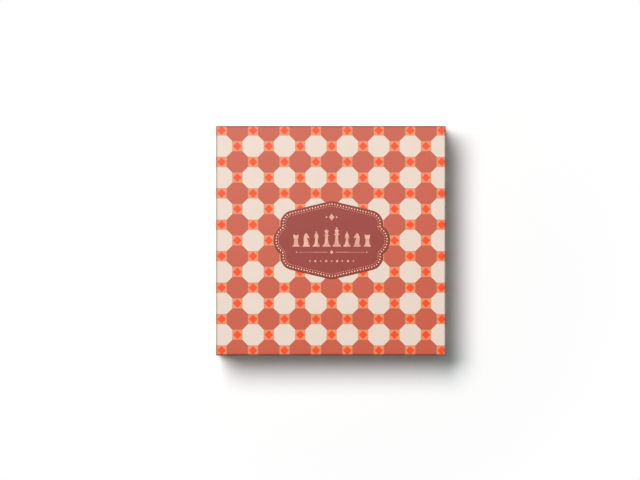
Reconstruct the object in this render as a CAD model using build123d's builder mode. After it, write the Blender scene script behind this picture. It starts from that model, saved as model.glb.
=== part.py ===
from build123d import *
import os
from math import acos, atan2, cos, degrees, hypot, radians, sin, sqrt, tan

os.makedirs("parts", exist_ok=True)

# Chess game in a square gift box, closed: a printed lid over a plain tray, and in the tray
# a playing board that lies on a grid of card cells with one chessman in each cell.
# Millimetres, +Z up, origin on the floor under the middle of the box.

# Greyboard and paper that the box is made of
greyboard = 2.0        # rigid board of lid and tray
paper = 0.2            # printed wraps, linings and the sheet under the tray
turn_in = 15.0         # width of a wrap's strip that is folded over an edge
edge_round = 1.0       # outer radius where a wrap goes round an edge of the greyboard
lid_play = 0.6         # free space between skirt and tray, on each side
rest_gap = 0.2         # hair gap under a piece that lies loose on another
reveal = 3.5           # strip of the tray that shows below the skirt

# Playing board
square = 30.0          # one of the 64 squares
border = 11.0          # plain margin round the squares
board_card = 4.0       # core of the playing board
board_play = 1.1       # free space round it in the tray
board_turn_in = 12.0   # width of its printed paper's strip that is folded under the core
notch_radius = 9.0     # half-moon for a fingertip, punched at left and right
head_room = 1.4        # from the board's face up to the tray's rim

# Card grid
card = 1.0             # card of the dividers
slot_play = 0.1        # free space of a slot on each side of the card, and under it
end_room = 4.0         # free length in a king's cell
over_room = 3.0        # free height over a king's foot

# Label glued on the lid
label_thickness = 0.3
label_half_width = 69.8     # to the tips at left and right
label_half_height = 47.2    # to where two slanted edges would meet
label_waist = 61.4          # half width at the notches beside the tips
label_notch = 16.6          # height of a notch over the middle
label_slant = 13.5          # slope of the long edges, in degrees
label_shoulder = 16.0       # radius of the four shoulders
label_peak = 18.0           # radius of the top and bottom peaks
label_right = 0.9           # its middle, to the right of the lid's
label_up = 0.7              # and above it

# Chessmen: height and width of the foot. The shares below are of the foot's radius, but a
# collar_place is of the man's height.
heights = {"king": 58.0, "queen": 52.0, "bishop": 45.0, "knight": 42.0, "rook": 37.0, "pawn": 32.0}
foot_widths = {"king": 24.0, "queen": 23.1, "bishop": 21.0, "knight": 21.0, "rook": 21.0, "pawn": 18.6}
neck_shares = {"king": 0.32, "queen": 0.32, "bishop": 0.34, "rook": 0.50, "pawn": 0.32}
collar_shares = {"king": 0.60, "queen": 0.60, "bishop": 0.58, "rook": 0.66, "pawn": 0.56}
collar_places = {"king": 0.60, "queen": 0.62, "bishop": 0.56, "rook": 0.64}
floor_gap = 0.3        # hair gap under a man that lies in its cell
rim_share = 0.2        # height of a foot's straight rim, as a share of its radius
bead_share = 0.12      # thickness of half a foot's bead, likewise
disc_share = 0.17      # thickness of a collar, likewise
flare = 1.1            # width of a crown, hat or tower where it starts, over that of the neck
pawn_head = 5.2        # radius of a pawn's ball
finial = 1.7           # radius of the small ball on queen and bishop
cross_bar = 2.2        # width of a king's cross's bars
cross_span = 7.0       # width and height of the cross
mitre_cut = 1.2        # width of a bishop's slot
crenel = 2.4           # width of a gap in a rook's or queen's rim
knight_cheek = 9.0     # thickness of a knight's head across the cheeks
knight_round = 0.8     # radius along the head's edges
foot_gap = 1.2         # free length between a man's foot and the end of its cell

# Sizes that follow
wall = paper + greyboard + paper
board_thickness = paper + board_card + paper
board_side = 8 * square + 2 * border
tray_inside = board_side + 2 * board_play
tray_side = tray_inside + 2 * wall
lid_cavity = tray_side + 2 * lid_play
box_side = lid_cavity + 2 * wall
feet = {kind: width / 2 for kind, width in foot_widths.items()}
necks = {kind: share * feet[kind] for kind, share in neck_shares.items()}
collars = {kind: share * feet[kind] for kind, share in collar_shares.items()}
collar_heights = {kind: share * heights[kind] for kind, share in collar_places.items()}
cell_depth = 2 * feet["king"] + over_room
tray_floor = wall
grid_top = tray_floor + cell_depth
board_bottom = grid_top + rest_gap
board_top = board_bottom + board_thickness
tray_rim = board_top + head_room
lid_ceiling = tray_rim + rest_gap
box_height = lid_ceiling + wall
officer_cell = heights["king"] + end_room
pawn_cell = (tray_inside - 2 * officer_cell - 3 * card) / 2
cell_width = (tray_inside - 7 * card) / 8
slot_width = card + 2 * slot_play
slot_depth = cell_depth / 2 + slot_play


# Lid's greyboard: a blank scored and folded down on four sides
with BuildPart() as lid_block:
    with BuildSketch(Plane.XY.offset(reveal + paper)):
        Rectangle(box_side - 2 * paper, box_side - 2 * paper)
    extrude(amount=box_height - reveal - 2 * paper)
    lid_folds = lid_block.edges().filter_by(Axis.Z) + lid_block.faces().sort_by(Axis.Z)[-1].edges()
    fillet(lid_folds, edge_round - paper)

with BuildPart() as lid_greyboard:
    add(lid_block.part)
    with BuildSketch(Plane.XY.offset(reveal + paper)):
        Rectangle(lid_cavity + 2 * paper, lid_cavity + 2 * paper)
    extrude(amount=lid_ceiling - reveal, mode=Mode.SUBTRACT)
lid_greyboard.part.label = "lid_greyboard"
export_step(lid_greyboard.part, "parts/lid_greyboard.step")

# Lid's printed paper: over the top, down the skirt, round its edge and a strip up inside
with BuildPart() as lid_wrap:
    with BuildSketch(Plane.XY.offset(reveal)):
        Rectangle(box_side, box_side)
    extrude(amount=box_height - reveal)
    wrap_folds = lid_wrap.edges().filter_by(Axis.Z) + lid_wrap.faces().sort_by(Axis.Z)[-1].edges()
    fillet(wrap_folds, edge_round)
    add(lid_block.part, mode=Mode.SUBTRACT)
    with BuildSketch(Plane.XY.offset(reveal)):
        Rectangle(lid_cavity + 2 * paper, lid_cavity + 2 * paper)
    extrude(amount=turn_in)
    with BuildSketch(Plane.XY.offset(reveal)):
        Rectangle(lid_cavity, lid_cavity)
    extrude(amount=turn_in, mode=Mode.SUBTRACT)
lid_wrap.part.label = "lid_wrap"
export_step(lid_wrap.part, "parts/lid_wrap.step")

# Lid's lining: over the ceiling and down to the wrap's folded strip
with BuildPart() as lid_lining:
    with BuildSketch(Plane.XY.offset(reveal + turn_in)):
        Rectangle(lid_cavity + 2 * paper, lid_cavity + 2 * paper)
    extrude(amount=lid_ceiling + paper - reveal - turn_in)
    with BuildSketch(Plane.XY.offset(reveal + turn_in)):
        Rectangle(lid_cavity, lid_cavity)
    extrude(amount=lid_ceiling - reveal - turn_in, mode=Mode.SUBTRACT)
lid_lining.part.label = "lid_lining"
export_step(lid_lining.part, "parts/lid_lining.step")

# Label: slanted edges that meet in soft peaks, round shoulders, and a lobe at each side
label_corner = label_half_height - label_waist * tan(radians(label_slant))
with BuildPart() as lid_label:
    with BuildSketch(Plane.XY.offset(box_height).shift_origin((label_right, label_up, box_height))):
        with BuildLine():
            for side in (1, -1):
                FilletPolyline((-label_waist, side * label_notch), (-label_waist, side * label_corner),
                               (0, side * label_half_height), (label_waist, side * label_corner),
                               (label_waist, side * label_notch),
                               radius=[label_shoulder, label_peak, label_shoulder])
                ThreePointArc((side * label_waist, label_notch), (side * label_half_width, 0),
                              (side * label_waist, -label_notch))
        make_face()
    extrude(amount=label_thickness)
lid_label.part.label = "lid_label"
export_step(lid_label.part, "parts/lid_label.step")

# Tray's greyboard: the same construction the other way up
with BuildPart() as tray_block:
    with BuildSketch(Plane.XY.offset(paper)):
        Rectangle(tray_side - 2 * paper, tray_side - 2 * paper)
    extrude(amount=tray_rim - 2 * paper)
    fillet(tray_block.edges().filter_by(Axis.Z), edge_round - paper)

with BuildPart() as tray_greyboard:
    add(tray_block.part)
    with BuildSketch(Plane.XY.offset(paper + greyboard)):
        Rectangle(tray_inside + 2 * paper, tray_inside + 2 * paper)
    extrude(amount=tray_rim, mode=Mode.SUBTRACT)
tray_greyboard.part.label = "tray_greyboard"
export_step(tray_greyboard.part, "parts/tray_greyboard.step")

# Tray's wrap: round the walls, with a strip folded under the tray and one over its rim
with BuildPart() as tray_wrap:
    with BuildSketch():
        Rectangle(tray_side, tray_side)
    extrude(amount=tray_rim)
    fillet(tray_wrap.edges().filter_by(Axis.Z), edge_round)
    add(tray_block.part, mode=Mode.SUBTRACT)
    with BuildSketch(Plane.XY.offset(tray_rim)):
        Rectangle(tray_inside + 2 * paper, tray_inside + 2 * paper)
    extrude(amount=-turn_in)
    with BuildSketch(Plane.XY.offset(tray_rim)):
        Rectangle(tray_inside, tray_inside)
    extrude(amount=-turn_in, mode=Mode.SUBTRACT)
    with BuildSketch():
        Rectangle(tray_side - 2 * turn_in, tray_side - 2 * turn_in)
    extrude(amount=paper, mode=Mode.SUBTRACT)
tray_wrap.part.label = "tray_wrap"
export_step(tray_wrap.part, "parts/tray_wrap.step")

# Sheet under the tray, inside the wrap's folded strip
with BuildPart() as tray_base_sheet:
    with BuildSketch():
        Rectangle(tray_side - 2 * turn_in, tray_side - 2 * turn_in)
    extrude(amount=paper)
tray_base_sheet.part.label = "tray_base_sheet"
export_step(tray_base_sheet.part, "parts/tray_base_sheet.step")

# Tray's lining: over the floor and up to the wrap's folded strip
with BuildPart() as tray_lining:
    with BuildSketch(Plane.XY.offset(tray_floor - paper)):
        Rectangle(tray_inside + 2 * paper, tray_inside + 2 * paper)
    extrude(amount=tray_rim - turn_in - tray_floor + paper)
    with BuildSketch(Plane.XY.offset(tray_floor)):
        Rectangle(tray_inside, tray_inside)
    extrude(amount=tray_rim, mode=Mode.SUBTRACT)
tray_lining.part.label = "tray_lining"
export_step(tray_lining.part, "parts/tray_lining.step")

# Long dividers: three cards across the tray's width, slotted from above
long_places = [-pawn_cell - card, 0, pawn_cell + card]
cross_places = [(i - 3) * (cell_width + card) for i in range(7)]
for number, x in enumerate(long_places, 1):
    with BuildPart() as long_divider:
        with BuildSketch(Plane.XY.offset(tray_floor)):
            with Locations((x, 0)):
                Rectangle(card, tray_inside)
        extrude(amount=cell_depth)
        with BuildSketch(Plane.XY.offset(grid_top)):
            with Locations([(x, y) for y in cross_places]):
                Rectangle(2 * card, slot_width)
        extrude(amount=-slot_depth, mode=Mode.SUBTRACT)
    long_divider.part.label = f"long_divider_{number}"
    export_step(long_divider.part, f"parts/long_divider_{number}.step")

# Cross dividers: seven cards the other way, slotted from below
for number, y in enumerate(cross_places, 1):
    with BuildPart() as cross_divider:
        with BuildSketch(Plane.XY.offset(tray_floor)):
            with Locations((0, y)):
                Rectangle(tray_inside, card)
        extrude(amount=cell_depth)
        with BuildSketch(Plane.XY.offset(tray_floor)):
            with Locations([(x, y) for x in long_places]):
                Rectangle(slot_width, 2 * card)
        extrude(amount=slot_depth, mode=Mode.SUBTRACT)
    cross_divider.part.label = f"cross_divider_{number}"
    export_step(cross_divider.part, f"parts/cross_divider_{number}.step")

# Playing board's core: a card plate, punched with two half-moons for the fingertips
notch_places = [(-board_side / 2, 0), (board_side / 2, 0)]
with BuildPart() as board_core:
    with BuildSketch(Plane.XY.offset(board_bottom + paper)):
        Rectangle(board_side - 2 * paper, board_side - 2 * paper)
        with Locations(notch_places):
            Circle(notch_radius, mode=Mode.SUBTRACT)
    extrude(amount=board_card)
board_core.part.label = "board_core"
export_step(board_core.part, "parts/board_core.step")

# Playing board's printed face: over the core, down its edges and a strip folded under it
with BuildPart() as board_face:
    with BuildSketch(Plane.XY.offset(board_bottom)):
        Rectangle(board_side, board_side)
    extrude(amount=board_thickness)
    with BuildSketch(Plane.XY.offset(board_bottom + paper)):
        Rectangle(board_side - 2 * paper, board_side - 2 * paper)
    extrude(amount=board_card, mode=Mode.SUBTRACT)
    with BuildSketch(Plane.XY.offset(board_bottom)):
        Rectangle(board_side - 2 * board_turn_in, board_side - 2 * board_turn_in)
    extrude(amount=paper, mode=Mode.SUBTRACT)
    with BuildSketch(Plane.XY.offset(board_bottom)):
        with Locations(notch_places):
            Circle(notch_radius)
    extrude(amount=board_thickness, mode=Mode.SUBTRACT)
board_face.part.label = "board_face"
export_step(board_face.part, "parts/board_face.step")

# Playing board's backing: plain paper that fills the space inside the folded strip
with BuildPart() as board_backing:
    with BuildSketch(Plane.XY.offset(board_bottom)):
        Rectangle(board_side - 2 * board_turn_in, board_side - 2 * board_turn_in)
    extrude(amount=paper)
board_backing.part.label = "board_backing"
export_step(board_backing.part, "parts/board_backing.step")


def foot(radius, neck, height):
    """Draw a man's foot: a straight rim, a round bead and an elliptic sweep up to the neck."""
    rim = rim_share * radius
    bead = bead_share * radius
    ledge = radius - 1.5 * bead
    Polyline((0, 0), (radius, 0), (radius, rim), (radius - bead, rim))
    ThreePointArc((radius - bead, rim), (radius, rim + bead), (radius - bead, rim + 2 * bead))
    Line((radius - bead, rim + 2 * bead), (ledge, rim + 2 * bead))
    EllipticalCenterArc((ledge, height), ledge - neck, height - rim - 2 * bead,
                        start_angle=180, arc_size=90)


def collar(neck, width, height, upper, thickness):
    """Draw a collar: a disc with a round edge, between the neck and what stands on it."""
    Line((neck, height), (width, height))
    ThreePointArc((width, height), (width + thickness / 2, height + thickness / 2),
                  (width, height + thickness))
    Line((width, height + thickness), (upper, height + thickness))


# Pawn: foot, slim neck, collar and a ball
pawn_foot = feet["pawn"]
pawn_neck = necks["pawn"]
pawn_top = 1.25 * pawn_neck
ball_height = heights["pawn"] - pawn_head
ball_bottom = ball_height - sqrt(pawn_head ** 2 - pawn_top ** 2)
with BuildPart() as pawn:
    with BuildSketch(Plane.XZ):
        with BuildLine():
            foot(pawn_foot, pawn_neck, ball_bottom - disc_share * pawn_foot)
            collar(pawn_neck, collars["pawn"], ball_bottom - disc_share * pawn_foot,
                   pawn_top, disc_share * pawn_foot)
            ThreePointArc((pawn_top, ball_bottom), (pawn_head, ball_height), (0, heights["pawn"]))
            Line((0, heights["pawn"]), (0, 0))
        make_face()
    revolve(axis=Axis.Z)

# Rook: foot, stout body, collar and a tower whose rim has four gaps
rook_foot = feet["rook"]
rook_neck = necks["rook"]
rook_collar = collar_heights["rook"]
tower_bottom = rook_collar + disc_share * rook_foot
tower = 0.72 * rook_foot
with BuildPart() as rook:
    with BuildSketch(Plane.XZ):
        with BuildLine():
            foot(rook_foot, rook_neck, rook_collar)
            collar(rook_neck, collars["rook"], rook_collar, flare * rook_neck, disc_share * rook_foot)
            Polyline((flare * rook_neck, tower_bottom), (tower, tower_bottom + 0.25 * rook_foot),
                     (tower, heights["rook"]), (0.7 * tower, heights["rook"]),
                     (0.7 * tower, heights["rook"] - crenel), (0, heights["rook"] - crenel), (0, 0))
        make_face()
    revolve(axis=Axis.Z)
    with BuildSketch(Plane.XY.offset(heights["rook"])):
        Rectangle(3 * tower, crenel)
        Rectangle(crenel, 3 * tower)
    extrude(amount=-crenel, mode=Mode.SUBTRACT)

# Bishop: foot, neck, collar and a mitre with a slanting slot and a small ball
bishop_foot = feet["bishop"]
bishop_neck = necks["bishop"]
bishop_collar = collar_heights["bishop"]
mitre_bottom = bishop_collar + disc_share * bishop_foot
mitre_top = heights["bishop"] - 1.8 * finial
mitre = mitre_top - mitre_bottom
mitre_wide = 0.54 * bishop_foot
with BuildPart() as bishop:
    with BuildSketch(Plane.XZ):
        with BuildLine():
            foot(bishop_foot, bishop_neck, bishop_collar)
            collar(bishop_neck, collars["bishop"], bishop_collar, bishop_neck, disc_share * bishop_foot)
            Spline((bishop_neck, mitre_bottom), (mitre_wide, mitre_bottom + 0.36 * mitre),
                   (0.6 * mitre_wide, mitre_bottom + 0.75 * mitre), (0.6 * finial, mitre_top))
            ThreePointArc((0.6 * finial, mitre_top), (finial, heights["bishop"] - finial),
                          (0, heights["bishop"]))
            Line((0, heights["bishop"]), (0, 0))
        make_face()
    revolve(axis=Axis.Z)
    with BuildSketch(Plane.XZ):
        with Locations((mitre_wide, mitre_bottom + 0.7 * mitre)):
            Rectangle(2 * mitre_wide, mitre_cut, rotation=50)
    extrude(amount=mitre_wide, both=True, mode=Mode.SUBTRACT)

# Queen: foot, neck, collar, a flaring crown with eight gaps in its rim and a small ball
queen_foot = feet["queen"]
queen_neck = necks["queen"]
queen_collar = collar_heights["queen"]
crown_bottom = queen_collar + disc_share * queen_foot
crown_rim = heights["queen"] - 3 * finial
crown_wide = 0.6 * queen_foot
with BuildPart() as queen:
    with BuildSketch(Plane.XZ):
        with BuildLine():
            foot(queen_foot, queen_neck, queen_collar)
            collar(queen_neck, collars["queen"], queen_collar, flare * queen_neck, disc_share * queen_foot)
            EllipticalCenterArc((crown_wide, crown_bottom), crown_wide - flare * queen_neck,
                                crown_rim - crown_bottom, start_angle=90, arc_size=90)
            Polyline((crown_wide, crown_rim), (crown_wide, crown_rim + crenel / 3),
                     (0.75 * crown_wide, crown_rim + crenel / 3))
            ThreePointArc((0.75 * crown_wide, crown_rim + crenel / 3),
                          (0.45 * crown_wide, crown_rim + 0.9 * finial),
                          (0.6 * finial, crown_rim + 1.2 * finial))
            ThreePointArc((0.6 * finial, crown_rim + 1.2 * finial), (finial, heights["queen"] - finial),
                          (0, heights["queen"]))
            Line((0, heights["queen"]), (0, 0))
        make_face()
    revolve(axis=Axis.Z)
    with BuildSketch(Plane.XY.offset(crown_rim - crenel / 3)):
        with PolarLocations(crown_wide, 8):
            Circle(crenel / 3)
    extrude(amount=crenel, mode=Mode.SUBTRACT)

# King: foot, neck, two collars, a crown with a domed top and a plain cross
king_foot = feet["king"]
king_neck = necks["king"]
king_collar = collar_heights["king"]
hat_bottom = king_collar + 2 * disc_share * king_foot
hat_rim = heights["king"] - cross_span - 0.25 * king_foot
hat_wide = 0.54 * king_foot
with BuildPart() as king:
    with BuildSketch(Plane.XZ):
        with BuildLine():
            foot(king_foot, king_neck, king_collar)
            collar(king_neck, collars["king"], king_collar, 0.46 * king_foot, disc_share * king_foot)
            collar(0.46 * king_foot, 0.48 * king_foot, hat_bottom - disc_share * king_foot,
                   flare * king_neck, disc_share * king_foot)
            EllipticalCenterArc((hat_wide, hat_bottom), hat_wide - flare * king_neck, hat_rim - hat_bottom,
                                start_angle=90, arc_size=90)
            Line((hat_wide, hat_rim), (hat_wide, hat_rim + 0.06 * king_foot))
            ThreePointArc((hat_wide, hat_rim + 0.06 * king_foot),
                          (0.6 * hat_wide, hat_rim + 0.2 * king_foot), (0, heights["king"] - cross_span))
            Line((0, heights["king"] - cross_span), (0, 0))
        make_face()
    revolve(axis=Axis.Z)
    with BuildSketch(Plane.XZ):
        with Locations((0, heights["king"] - cross_span / 2 - cross_bar / 2)):
            Rectangle(cross_bar, cross_span + cross_bar)
        with Locations((0, heights["king"] - 0.45 * cross_span)):
            Rectangle(cross_span, cross_bar)
    extrude(amount=cross_bar / 2, both=True)

# Horse's head: sawn to its outline, thinned towards the ears, with its edges rounded
knight_foot = feet["knight"]
plinth = 0.68 * knight_foot
plinth_top = 0.27 * heights["knight"]
neck_height = heights["knight"] - plinth_top
with BuildPart() as horse_head:
    with BuildSketch(Plane.XZ.shift_origin((0, 0, plinth_top))):
        with BuildLine():
            crest = Spline((-0.9 * plinth, 0), (-1.1 * plinth, 0.38 * neck_height),
                           (-0.75 * plinth, 0.74 * neck_height), (-0.1 * plinth, 0.93 * neck_height))
            ear = Polyline(crest @ 1, (0.12 * plinth, neck_height), (0.32 * plinth, 0.87 * neck_height))
            nose = Spline(ear @ 1, (0.8 * plinth, 0.72 * neck_height), (1.36 * plinth, 0.55 * neck_height))
            muzzle = Polyline(nose @ 1, (1.34 * plinth, 0.45 * neck_height),
                              (1.0 * plinth, 0.41 * neck_height))
            jaw = Spline(muzzle @ 1, (0.55 * plinth, 0.5 * neck_height), (0.25 * plinth, 0.44 * neck_height))
            chest = Spline(jaw @ 1, (0.75 * plinth, 0.22 * neck_height), (0.9 * plinth, 0))
            Line(chest @ 1, crest @ 0)
        make_face()
    extrude(amount=plinth, both=True)
    with BuildSketch(Plane.YZ.shift_origin((0, 0, plinth_top))):
        with BuildLine():
            cheek = knight_cheek / 2
            left = Spline((-0.9 * plinth, 0), (-cheek, 0.45 * neck_height),
                          (-0.75 * cheek, 0.8 * neck_height), (-0.35 * cheek, neck_height))
            right = Spline((0.9 * plinth, 0), (cheek, 0.45 * neck_height), (0.75 * cheek, 0.8 * neck_height),
                           (0.35 * cheek, neck_height))
            Line(left @ 0, right @ 0)
            Line(left @ 1, right @ 1)
        make_face()
    extrude(amount=2 * plinth, both=True, mode=Mode.INTERSECT)
    head_edges = horse_head.edges().filter_by_position(Axis.Z, plinth_top + knight_round, heights["knight"])
    fillet(head_edges, knight_round)

# Knight: foot, plinth and the horse's head on it
with BuildPart() as knight:
    with BuildSketch(Plane.XZ):
        with BuildLine():
            foot(knight_foot, 0.92 * plinth, plinth_top - disc_share * knight_foot)
            collar(0.92 * plinth, plinth, plinth_top - disc_share * knight_foot, 0,
                   disc_share * knight_foot)
            Line((0, plinth_top), (0, 0))
        make_face()
    revolve(axis=Axis.Z)
    add(horse_head.part)

# How each man lies: its foot's bead and its widest collar or head touch the same floor.
# Each touch is a circle of the outline: distance from the axis, height, radius of the circle.
head_touches = {
    "king": (collars["king"], king_collar + disc_share * king_foot / 2, disc_share * king_foot / 2),
    "queen": (crown_wide, crown_rim + crenel / 3, 0),
    "bishop": (collars["bishop"], bishop_collar + disc_share * bishop_foot / 2,
               disc_share * bishop_foot / 2),
    "knight": (0.38 * knight_cheek, plinth_top + 0.82 * neck_height, 0),
    "rook": (tower, heights["rook"], 0),
    "pawn": (0, ball_height, pawn_head),
}
men = {"king": king, "queen": queen, "bishop": bishop, "knight": knight, "rook": rook, "pawn": pawn}
turns = {"king": 90, "queen": 0, "bishop": 180, "knight": 90, "rook": 0, "pawn": 0}


def lying(kind, x, y, heading):
    """Place a man on its side, foot towards x, its axis dipping until head and foot both touch.

    The dip is the slope of the common tangent of the two touching circles.
    """
    bead = bead_share * feet[kind]
    foot_out, foot_up = feet[kind] - bead, (rim_share + bead_share) * feet[kind]
    head_out, head_up, head_radius = head_touches[kind]
    reach = hypot(foot_out - head_out, head_up - foot_up)
    dip = acos((head_radius - bead) / reach) - atan2(head_up - foot_up, foot_out - head_out)
    height = tray_floor + floor_gap + foot_out * cos(dip) + foot_up * sin(dip) + bead
    start = x - heading * feet[kind] * sin(dip)
    turned = Location((start, y, height), (0, 0, 0 if heading < 0 else 180))
    return turned * Location((0, 0, 0), (0, 90 + degrees(dip), 0)) * Location((0, 0, 0), (0, 0, turns[kind]))


# Chessmen: officers in the outer cells with their feet to the tray's wall, pawns inside them
back_row = ["rook", "knight", "bishop", "queen", "king", "bishop", "knight", "rook"]
for colour, heading in (("light", -1), ("dark", 1)):
    for place in range(8):
        y = (place - 3.5) * (cell_width + card)
        officer = back_row[place]
        name = f"{colour}_{officer}"
        if officer not in ("king", "queen"):
            name += f"_{1 if place < 4 else 2}"
        with BuildPart() as chessman:
            with Locations(lying(officer, heading * (tray_inside / 2 - foot_gap), y, heading)):
                add(men[officer].part)
        chessman.part.label = name
        export_step(chessman.part, f"parts/{name}.step")
        pawn_start = heading * (card / 2 + pawn_cell - foot_gap)
        with BuildPart() as foot_soldier:
            with Locations(lying("pawn", pawn_start, y, heading)):
                add(pawn.part)
        foot_soldier.part.label = f"{colour}_pawn_{place + 1}"
        export_step(foot_soldier.part, f"parts/{colour}_pawn_{place + 1}.step")
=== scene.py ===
import bmesh
import bpy
import numpy as np
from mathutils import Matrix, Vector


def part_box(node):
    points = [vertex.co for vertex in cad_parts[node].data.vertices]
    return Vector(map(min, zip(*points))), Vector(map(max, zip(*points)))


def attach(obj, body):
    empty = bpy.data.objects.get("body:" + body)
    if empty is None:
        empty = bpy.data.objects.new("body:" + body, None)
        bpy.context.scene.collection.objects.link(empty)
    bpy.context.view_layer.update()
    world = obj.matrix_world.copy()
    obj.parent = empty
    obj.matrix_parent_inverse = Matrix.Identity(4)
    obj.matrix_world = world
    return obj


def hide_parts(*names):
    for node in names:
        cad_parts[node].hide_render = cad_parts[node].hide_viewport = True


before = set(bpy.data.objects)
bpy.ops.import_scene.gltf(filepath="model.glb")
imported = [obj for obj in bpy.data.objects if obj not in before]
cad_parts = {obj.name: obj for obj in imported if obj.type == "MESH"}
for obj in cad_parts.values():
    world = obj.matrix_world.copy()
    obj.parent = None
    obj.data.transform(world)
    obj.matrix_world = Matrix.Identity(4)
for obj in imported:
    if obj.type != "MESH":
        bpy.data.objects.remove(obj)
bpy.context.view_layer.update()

# Tray. The real one is 2 mm greyboard, scored and folded up on four sides, with deep red paper
# glued round it, over its rim and under its floor. A sheet covers the paper's edges underneath,
# and a cream lining covers them inside.
MM = 0.001
CLOUD = 12.0  # width of the faint clouds in a paper's colour
FOLD_SHADE_WIDTH, NEAR_SHADE_WIDENING = 2.2, 0.8  # the painted shade along a fold, and how much wider it is along the near side, which faces away from the light
FOLD_SHADE_DARKEST = 0.15  # share of its brightness that the paper keeps right on a fold, under the painted shade
SPECK, WORN, BARE = 1.6, 0.5, 0.5  # worn specks: size, reach from a fold, and share of bare fibre


def linear(code):
    """Turn an sRGB hex colour into linear RGBA by the sRGB curve."""
    srgb = np.array([int(code[i:i + 2], 16) / 255 for i in (1, 3, 5)])
    rgb = np.where(srgb <= 0.04045, srgb / 12.92, ((srgb + 0.055) / 1.055) ** 2.4)
    return (*rgb.tolist(), 1.0)


def add(tree, kind, *inputs, **settings):
    """Add one shader node: its settings by name, its inputs in the order that it shows them.

    An input is a value, another node's output, or None to leave it. Gives its first output.
    """
    made = tree.nodes.new("ShaderNode" + kind)
    for name, value in settings.items():
        setattr(made, name, value)
    shown = [socket for socket in made.inputs if socket.enabled]
    for socket, value in zip(shown, inputs):
        if isinstance(value, bpy.types.NodeSocket):
            tree.links.new(value, socket)
        elif value is not None:
            socket.default_value = value
    return next(socket for socket in made.outputs if socket.enabled)


def blank(name):
    """Start a material: gives it, its tree, its shader's inputs and the place on the piece."""
    material = bpy.data.materials.new(name)
    material.use_nodes = True
    tree = material.node_tree
    place = add(tree, "TexCoord").node.outputs["Object"]
    return material, tree, tree.nodes["Principled BSDF"].inputs, place


def stock(name, ink, roughness, fibre, relief, mottle, wraps=None):
    """Make a paper or card: its ink is a hex colour, or draws itself from a tree and a place.

    Faint clouds vary it by its mottle, and fibres, in millimetres, stand up by its relief. Round
    a box that it wraps, painted shade darkens a line along each fold, with small specks worn down
    to the bare fibre. The painted shade is widest along the near side. A fold lies where two of a
    point's distances to the box's sides are near 0, so the second lowest of the three is the
    distance from it.
    """
    material, tree, shader, place = blank(name)
    shader["Roughness"].default_value = roughness
    colour = ink(tree, place) if callable(ink) else linear(ink)
    clouds = add(tree, "TexNoise", place, 1 / (CLOUD * MM), 3.0)
    shade = add(tree, "MapRange", clouds, 0.3, 0.7, 1 - mottle, 1 + mottle)
    fibres = add(tree, "TexNoise", place, 1 / (fibre * MM), 5.0, 0.65)
    if wraps:
        low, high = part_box(wraps)
        x, y, z = add(tree, "SeparateXYZ", place).node.outputs[:3]
        aside = add(tree, "Math", high.x, add(tree, "Math", x, operation="ABSOLUTE"), operation="SUBTRACT")
        along = add(tree, "Math", add(tree, "Math", high.y, y, operation="SUBTRACT"),
                    add(tree, "Math", y, low.y + NEAR_SHADE_WIDENING * MM, operation="SUBTRACT"),
                    operation="MINIMUM")
        above = add(tree, "Math", add(tree, "Math", high.z, z, operation="SUBTRACT"),
                    add(tree, "Math", z, low.z, operation="SUBTRACT"), operation="MINIMUM")
        nearer = add(tree, "Math", aside, along, operation="MINIMUM")
        farther = add(tree, "Math", aside, along, operation="MAXIMUM")
        fold = add(tree, "Math", nearer, add(tree, "Math", farther, above, operation="MINIMUM"),
                   operation="MAXIMUM")
        # Painted shade: the paper darkens towards each fold, most along the near side
        fold_shade = add(tree, "MapRange", fold, 0.0, FOLD_SHADE_WIDTH * MM, FOLD_SHADE_DARKEST, 1.0)
        shade = add(tree, "Math", shade, fold_shade, operation="MULTIPLY")
        specks = add(tree, "TexNoise", place, 1 / (SPECK * MM), 4.0, 0.8)
        worn = add(tree, "Math", add(tree, "MapRange", fold, 0.0, WORN * MM, 1.0, 0.0),
                   add(tree, "MapRange", specks, 0.6, 0.66, 0.0, 1.0), operation="MULTIPLY")
        colour = add(tree, "Mix", add(tree, "Math", worn, BARE, operation="MULTIPLY"), colour,
                     linear("#E9D8C8"), data_type="RGBA")
    shaded = add(tree, "VectorMath", colour[:3] if isinstance(colour, tuple) else colour, shade,
                 operation="SCALE")
    tree.links.new(shaded, shader["Base Color"])
    tree.links.new(add(tree, "Bump", 1.0, relief * MM, None, fibres), shader["Normal"])
    return material


def dress(node, material):
    """Give a CAD node its material."""
    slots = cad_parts[node].data.materials
    slots.clear()
    slots.append(material)


# Greyboard is pressed from waste paper, so it is dull grey-brown with flecks. The deep red paper
# is matt laminated: even, with a soft wide sheen. The lining is uncoated: no sheen, faint fibres.
greyboard = stock("greyboard_pressed", "#9A9084", 0.9, 0.9, 0.05, 0.08)
tray_paper = stock("paper_deep_red_matt_laminated", "#964138", 0.5, 0.35, 0.008, 0.02, "tray_wrap")
lining_paper = stock("paper_cream_uncoated", "#EDDFCD", 0.85, 0.4, 0.015, 0.02)
dress("tray_greyboard", greyboard)
dress("tray_wrap", tray_paper)
dress("tray_base_sheet", tray_paper)
dress("tray_lining", lining_paper)

# Card grid. Three long and seven cross dividers of 1 mm card, coloured terracotta, are die cut
# with slots and pushed into each other, so that each of the 32 men has a cell.
divider_card = stock("card_terracotta_die_cut", "#CC6C59", 0.75, 0.5, 0.012, 0.03)
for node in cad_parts:
    if "_divider_" in node:
        dress(node, divider_card)

# Chessmen. The real ones are turned from pale maple, or from a darker wood with a red stain, and
# lacquered. Each starts as an outline, in millimetres, that is turned about the man's own axis.
HEIGHTS = {"king": 58.0, "queen": 52.0, "bishop": 45.0, "knight": 42.0, "rook": 37.0, "pawn": 32.0}
FEET = {"king": 12.0, "queen": 11.55, "bishop": 10.5, "knight": 10.5, "rook": 10.5, "pawn": 9.3}
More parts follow.
